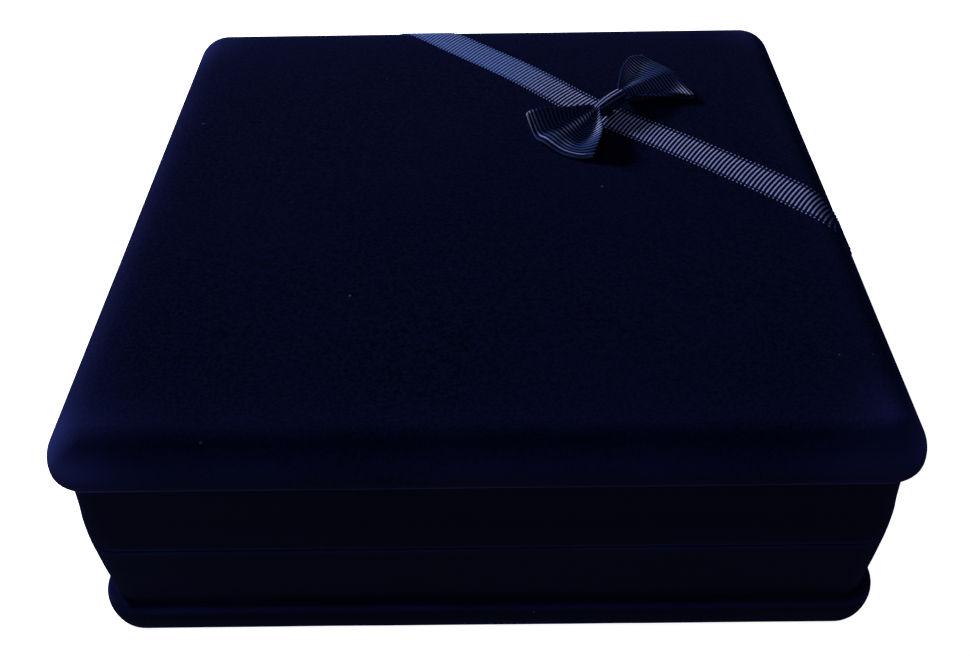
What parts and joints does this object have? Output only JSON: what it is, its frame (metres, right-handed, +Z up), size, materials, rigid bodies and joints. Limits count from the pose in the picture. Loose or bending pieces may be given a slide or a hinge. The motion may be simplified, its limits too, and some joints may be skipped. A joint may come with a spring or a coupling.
{
  "type": "jewelry gift box",
  "caption": "Square hinged velvet-covered jewelry box with a rolled lid edge, small rolled foot, and a ribbed ribbon with a bow laid across one lid corner.",
  "frame": {"origin": "middle of the underside", "axes": "+Z up, -Y the front, +Y the hinge side, +X the viewer's right"},
  "size_m": [0.1788, 0.1788, 0.07],
  "materials": {
    "outer_velvet": "very dark navy flocked velvet, soft sheen",
    "lining_velvet": "dark navy velvet on the lining strips",
    "pad_velvet": "dark navy velvet, finer pile",
    "moulding": "black moulded plastic",
    "card": "dark paper-faced card",
    "foam": "dark grey open-cell foam, cut block",
    "satin": "off-white satin over wadding",
    "pull_satin": "dark navy satin ribbon",
    "grosgrain": "dark navy ribbed grosgrain with steel-blue sheen",
    "brass": "plain stamped brass",
    "glue": "clear amber hot-melt glue"
  },
  "bodies": {
    "base": {"base_shell": "moulding", "base_velvet_cover": "outer_velvet", "bottom_card": "card", "base_lining_front": "lining_velvet", "base_lining_back": "lining_velvet", "base_lining_left": "lining_velvet", "base_lining_right": "lining_velvet", "pad_foam": "foam", "base_hinge_leaf_left": "brass", "hinge_pin_left": "brass", "base_rivet_left_1": "brass", "base_rivet_left_2": "brass", "base_hinge_leaf_right": "brass", "hinge_pin_right": "brass", "base_rivet_right_1": "brass", "base_rivet_right_2": "brass"},
    "pad": {"pad_board": "card", "display_pad": "pad_velvet", "ring_roll_front": "pad_velvet", "ring_roll_back": "pad_velvet", "earring_flap": "pad_velvet", "hook_flap_left": "pad_velvet", "hook_flap_right": "pad_velvet", "pull_tab": "pull_satin"},
    "lid": {"lid_shell": "moulding", "lid_velvet_cover": "outer_velvet", "lid_lining_front": "lining_velvet", "lid_lining_back": "lining_velvet", "lid_lining_left": "lining_velvet", "lid_lining_right": "lining_velvet", "lid_pad_card": "card", "lid_satin_pad": "satin", "ribbon_band": "grosgrain", "bow_loop_front": "grosgrain", "bow_loop_back": "grosgrain", "bow_knot": "grosgrain", "bow_glue_dot": "glue", "lid_hinge_leaf_left": "brass", "lid_rivet_left_1": "brass", "lid_rivet_left_2": "brass", "lid_hinge_leaf_right": "brass", "lid_rivet_right_1": "brass", "lid_rivet_right_2": "brass"}
  },
  "joints": [
    {"name": "lid_hinge", "type": "hinge", "parent": "base", "child": "lid", "pos_m": [0, 0.0873, 0.0305], "axis": [-1, 0, 0], "range_deg": [0, 100]},
    {"name": "pad_lift", "type": "slide", "parent": "base", "child": "pad", "axis": [0, 0, 1], "range_m": [0, 0.02]}
  ]
}
